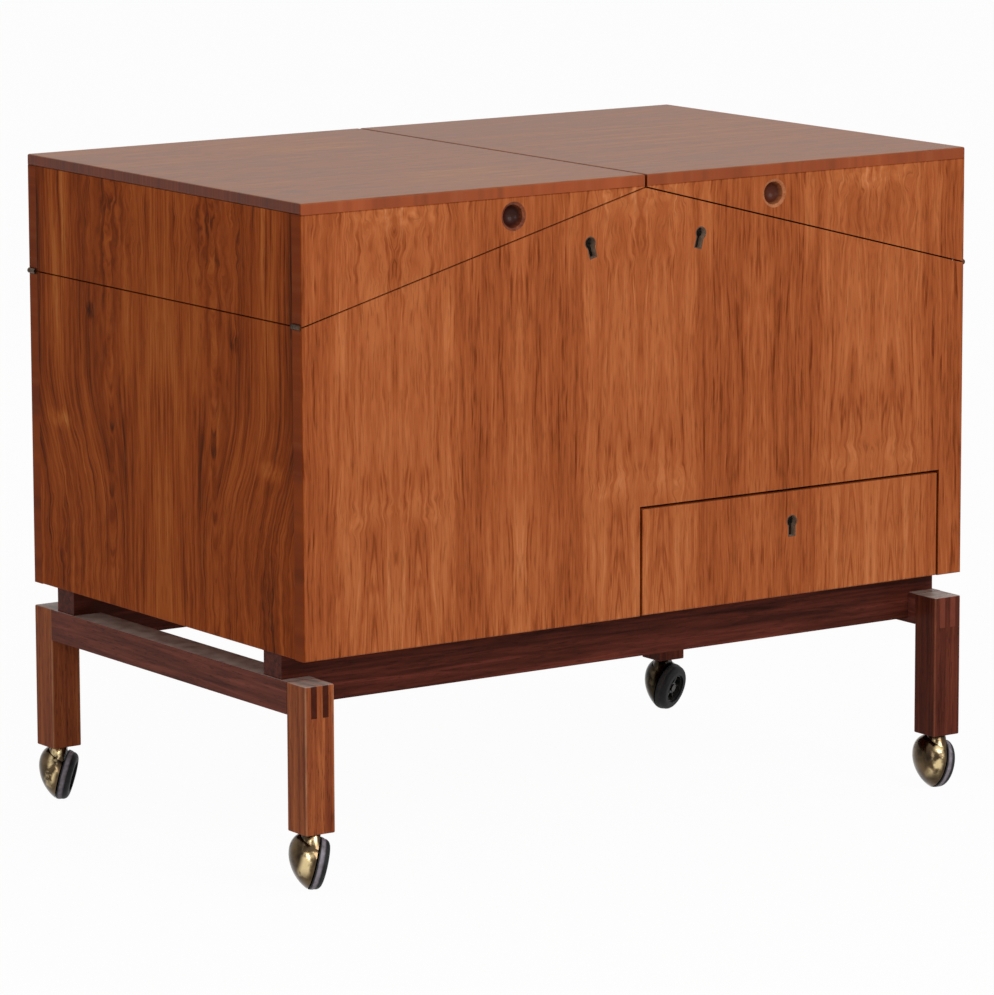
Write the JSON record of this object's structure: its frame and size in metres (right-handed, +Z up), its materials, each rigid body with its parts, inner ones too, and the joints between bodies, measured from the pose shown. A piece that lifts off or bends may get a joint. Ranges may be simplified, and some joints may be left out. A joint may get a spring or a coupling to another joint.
{
  "type": "bar cabinet",
  "caption": "Wood-veneered bar cabinet with outward-swinging lids that become serving trays, a lockable drawer and an open leg frame on ball castors.",
  "frame": {"origin": "on the floor, under the middle of the cabinet", "axes": "+X along the width, to the right as seen from the front, +Y to the back, +Z up"},
  "size_m": [0.8898, 0.5729, 0.724],
  "materials": {
    "rosewood_veneer": "oiled satin",
    "solid_rosewood": "oiled satin",
    "inner_boards": "lacquered",
    "drawer_box": "lacquered",
    "tray_lining": "matt black laminate",
    "brass": "aged polish",
    "steel": "plain",
    "castor_wheel": "moulded",
    "castor_tyre": "worn"
  },
  "bodies": {
    "cabinet": {"front_left_leg": "solid_rosewood", "rear_left_leg": "solid_rosewood", "front_right_leg": "solid_rosewood", "rear_right_leg": "solid_rosewood", "left_side_rail": "solid_rosewood", "right_side_rail": "solid_rosewood", "front_long_rail": "solid_rosewood", "rear_long_rail": "solid_rosewood", "frame_screws": "steel", "castor_sockets": "steel", "cabinet_front": "rosewood_veneer", "cabinet_back": "rosewood_veneer", "cabinet_left_side": "rosewood_veneer", "cabinet_right_side": "rosewood_veneer", "cabinet_floor": "inner_boards", "partition": "inner_boards", "drawer_shelf": "inner_boards", "bottle_divider": "inner_boards", "drawer_runners": "drawer_box", "left_lid_lock": "steel", "right_lid_lock": "steel", "lid_keyhole_liners": "brass", "hinge_lower_leaves": "brass", "hinge_pins": "brass"},
    "left_lid": {"left_lid_top": "rosewood_veneer", "left_lid_side": "rosewood_veneer", "left_lid_front": "rosewood_veneer", "left_lid_back": "rosewood_veneer", "left_lid_lining": "tray_lining", "left_lid_pull": "solid_rosewood", "left_hinge_upper_leaves": "brass"},
    "right_lid": {"right_lid_top": "rosewood_veneer", "right_lid_side": "rosewood_veneer", "right_lid_front": "rosewood_veneer", "right_lid_back": "rosewood_veneer", "right_lid_lining": "tray_lining", "right_lid_pull": "solid_rosewood", "right_hinge_upper_leaves": "brass"},
    "drawer": {"drawer_front": "rosewood_veneer", "drawer_sides": "drawer_box", "drawer_back": "drawer_box", "drawer_bottom": "drawer_box", "drawer_lock": "steel", "drawer_keyhole_liner": "brass"},
    "left_lock_bolt": {"left_lid_bolt": "steel"},
    "right_lock_bolt": {"right_lid_bolt": "steel"},
    "drawer_lock_bolt": {"drawer_bolt": "steel"},
    "front_left_castor": {"front_left_castor_hood": "brass"},
    "front_left_wheel": {"front_left_castor_wheel": "castor_wheel", "front_left_castor_tyre": "castor_tyre"},
    "rear_left_castor": {"rear_left_castor_hood": "brass"},
    "rear_left_wheel": {"rear_left_castor_wheel": "castor_wheel", "rear_left_castor_tyre": "castor_tyre"},
    "front_right_castor": {"front_right_castor_hood": "brass"},
    "front_right_wheel": {"front_right_castor_wheel": "castor_wheel", "front_right_castor_tyre": "castor_tyre"},
    "rear_right_castor": {"rear_right_castor_hood": "brass"},
    "rear_right_wheel": {"rear_right_castor_wheel": "castor_wheel", "rear_right_castor_tyre": "castor_tyre"}
  },
  "joints": [
    {"name": "left_lid_hinge", "type": "hinge", "parent": "cabinet", "child": "left_lid", "pos_m": [-0.4355, 0, 0.596], "axis": [0, -1, 0], "range_deg": [0, 180]},
    {"name": "right_lid_hinge", "type": "hinge", "parent": "cabinet", "child": "right_lid", "pos_m": [0.4355, 0, 0.596], "axis": [0, 1, 0], "range_deg": [0, 180]},
    {"name": "drawer_slide", "type": "slide", "parent": "cabinet", "child": "drawer", "axis": [0, -1, 0], "range_m": [0, 0.32]},
    {"name": "left_bolt_slide", "type": "slide", "parent": "cabinet", "child": "left_lock_bolt", "axis": [-0.2539, 0, 0.9672], "range_m": [0, 0.007]},
    {"name": "right_bolt_slide", "type": "slide", "parent": "cabinet", "child": "right_lock_bolt", "axis": [0.2539, 0, 0.9672], "range_m": [0, 0.007]},
    {"name": "drawer_bolt_slide", "type": "slide", "parent": "drawer", "child": "drawer_lock_bolt", "axis": [0, 0, 1], "range_m": [0, 0.008]},
    {"name": "front_left_swivel", "type": "hinge", "parent": "cabinet", "child": "front_left_castor", "pos_m": [-0.417, -0.2595, 0.06], "axis": [0, 0, 1], "continuous": true},
    {"name": "front_left_wheel_spin", "type": "hinge", "parent": "front_left_castor", "child": "front_left_wheel", "pos_m": [-0.41119, -0.25602, 0.02769], "axis": [0.8567, -0.4555, -0.2419], "continuous": true},
    {"name": "rear_left_swivel", "type": "hinge", "parent": "cabinet", "child": "rear_left_castor", "pos_m": [-0.417, 0.2595, 0.06], "axis": [0, 0, 1], "continuous": true},
    {"name": "rear_left_wheel_spin", "type": "hinge", "parent": "rear_left_castor", "child": "rear_left_wheel", "pos_m": [-0.41061, 0.26175, 0.02769], "axis": [0.7487, -0.6172, -0.2419], "continuous": true},
    {"name": "front_right_swivel", "type": "hinge", "parent": "cabinet", "child": "front_right_castor", "pos_m": [0.417, -0.2595, 0.06], "axis": [0, 0, 1], "continuous": true},
    {"name": "front_right_wheel_spin", "type": "hinge", "parent": "front_right_castor", "child": "front_right_wheel", "pos_m": [0.4218, -0.25472, 0.02769], "axis": [0.9415, -0.2347, -0.2419], "continuous": true},
    {"name": "rear_right_swivel", "type": "hinge", "parent": "cabinet", "child": "rear_right_castor", "pos_m": [0.417, 0.2595, 0.06], "axis": [0, 0, 1], "continuous": true},
    {"name": "rear_right_wheel_spin", "type": "hinge", "parent": "rear_right_castor", "child": "rear_right_wheel", "pos_m": [0.42372, 0.25866, 0.02769], "axis": [0.3947, -0.8864, -0.2419], "continuous": true}
  ]
}
